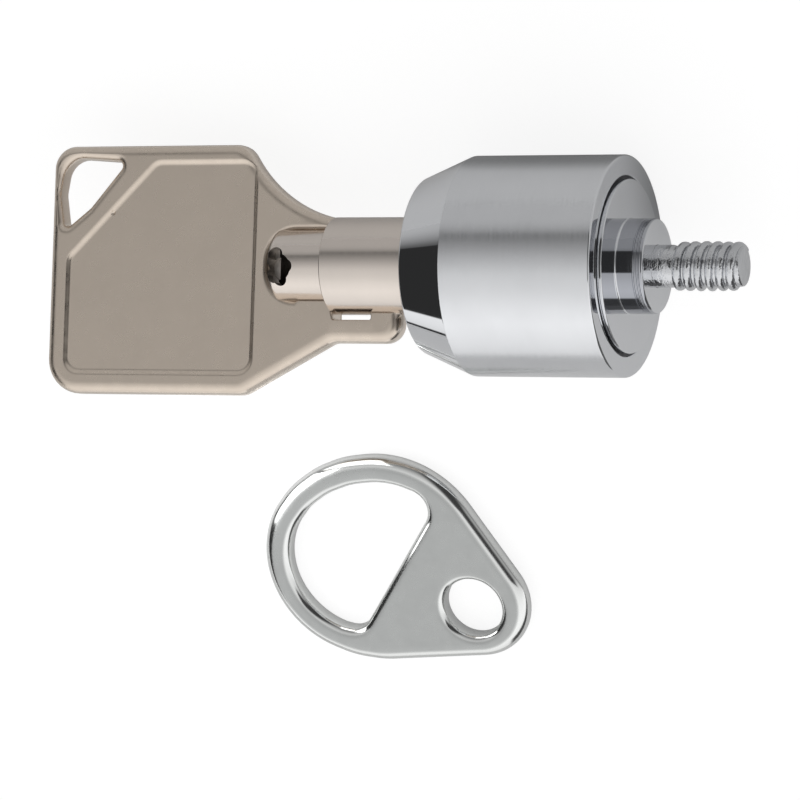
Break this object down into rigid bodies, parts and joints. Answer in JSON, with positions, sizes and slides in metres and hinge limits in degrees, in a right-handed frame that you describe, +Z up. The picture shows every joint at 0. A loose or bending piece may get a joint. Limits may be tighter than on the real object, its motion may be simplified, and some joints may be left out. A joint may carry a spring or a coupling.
{
  "type": "computer case lock",
  "caption": "Chromed free-spinning computer case lock on a case screw, with its tubular radial-pin key in place and a flat D-holed cable bracket beside it.",
  "frame": {"origin": "on the lock's axis, in the face of the boss that seats on the computer case", "axes": "+X along the case screw, into the case; +Z up from the surface that the cable bracket lies on; +Y to the side away from the bracket"},
  "size_m": [0.0547, 0.0436, 0.016],
  "materials": {
    "chrome_shell": "bright chrome plate over finely turned zinc; turning lines run round the cylinder",
    "chrome_carrier": "polished chrome plate with turning rings on the boss",
    "screw_steel": "bright nickel-plated steel thread",
    "bracket_nickel": "tumbled, nickel-plated zinc casting with soft edges",
    "key_nickel": "satin nickel plate, warm grey",
    "tube_nickel": "turned satin nickel plate",
    "core_brass": "turned brass, as machined",
    "pin_silver": "nickel silver pins",
    "spring_steel": "stainless spring wire",
    "hard_steel": "hardened steel, plain"
  },
  "bodies": {
    "screw": {"screw_carrier": "chrome_carrier", "case_screw": "screw_steel", "thrust_washer": "core_brass"},
    "housing": {"shell": "chrome_shell", "lock_sleeve": "core_brass", "stator": "core_brass", "stator_dowel": "hard_steel", "retaining_ring": "spring_steel", "clutch_spring": "spring_steel", "pin_spring_1": "spring_steel", "pin_spring_2": "spring_steel", "pin_spring_3": "spring_steel", "pin_spring_4": "spring_steel", "pin_spring_5": "spring_steel", "pin_spring_6": "spring_steel", "pin_spring_7": "spring_steel", "pin_spring_8": "spring_steel"},
    "rotor": {"rotor": "core_brass", "cross_pin": "hard_steel"},
    "key": {"key_barrel": "tube_nickel", "key_bow": "key_nickel"},
    "clutch": {"clutch_slider": "hard_steel"},
    "key_pins_long": {"key_pin_1": "pin_silver", "key_pin_3": "pin_silver", "key_pin_5": "pin_silver", "key_pin_7": "pin_silver"},
    "key_pins_short": {"key_pin_2": "pin_silver", "key_pin_4": "pin_silver", "key_pin_6": "pin_silver", "key_pin_8": "pin_silver"},
    "driver_pins_long": {"driver_pin_1": "pin_silver", "driver_pin_3": "pin_silver", "driver_pin_5": "pin_silver", "driver_pin_7": "pin_silver"},
    "driver_pins_short": {"driver_pin_2": "pin_silver", "driver_pin_4": "pin_silver", "driver_pin_6": "pin_silver", "driver_pin_8": "pin_silver"},
    "bracket": {"cable_bracket": "bracket_nickel"}
  },
  "joints": [
    {"name": "shell_spin", "type": "hinge", "parent": "screw", "child": "housing", "pos_m": [-0.01, 0, 0], "axis": [1, 0, 0], "continuous": true},
    {"name": "key_turn", "type": "hinge", "parent": "housing", "child": "rotor", "pos_m": [-0.012, 0, 0], "axis": [1, 0, 0], "range_deg": [0, 90]},
    {"name": "key_pull", "type": "slide", "parent": "rotor", "child": "key", "axis": [-1, 0, 0], "range_m": [0, 0.012]},
    {"name": "clutch_slide", "type": "slide", "parent": "housing", "child": "clutch", "axis": [1, 0, 0], "range_m": [0, 0.0012], "deforming": ["clutch_spring"]},
    {"name": "key_pins_long_slide", "type": "slide", "parent": "rotor", "child": "key_pins_long", "axis": [-1, 0, 0], "range_m": [0, 0.001]},
    {"name": "key_pins_short_slide", "type": "slide", "parent": "rotor", "child": "key_pins_short", "axis": [-1, 0, 0], "range_m": [0, 0.0006]},
    {"name": "driver_pins_long_slide", "type": "slide", "parent": "housing", "child": "driver_pins_long", "axis": [-1, 0, 0], "range_m": [0, 0.001], "deforming": ["pin_spring_1", "pin_spring_3", "pin_spring_5", "pin_spring_7"]},
    {"name": "driver_pins_short_slide", "type": "slide", "parent": "housing", "child": "driver_pins_short", "axis": [-1, 0, 0], "range_m": [0, 0.0006], "deforming": ["pin_spring_2", "pin_spring_4", "pin_spring_6", "pin_spring_8"]},
    {"name": "bracket_lift", "type": "slide", "parent": "screw", "child": "bracket", "axis": [0, 0, 1], "range_m": [0, 0.03]}
  ],
  "couplings": [
    {"joint": "clutch_slide", "follows": "key_turn", "m_per_rad": 0.00076394},
    {"joint": "key_pins_long_slide", "follows": "key_pull", "ratio": 0.083333},
    {"joint": "key_pins_short_slide", "follows": "key_pull", "ratio": 0.05},
    {"joint": "driver_pins_long_slide", "follows": "key_pull", "ratio": 0.083333},
    {"joint": "driver_pins_short_slide", "follows": "key_pull", "ratio": 0.05}
  ]
}
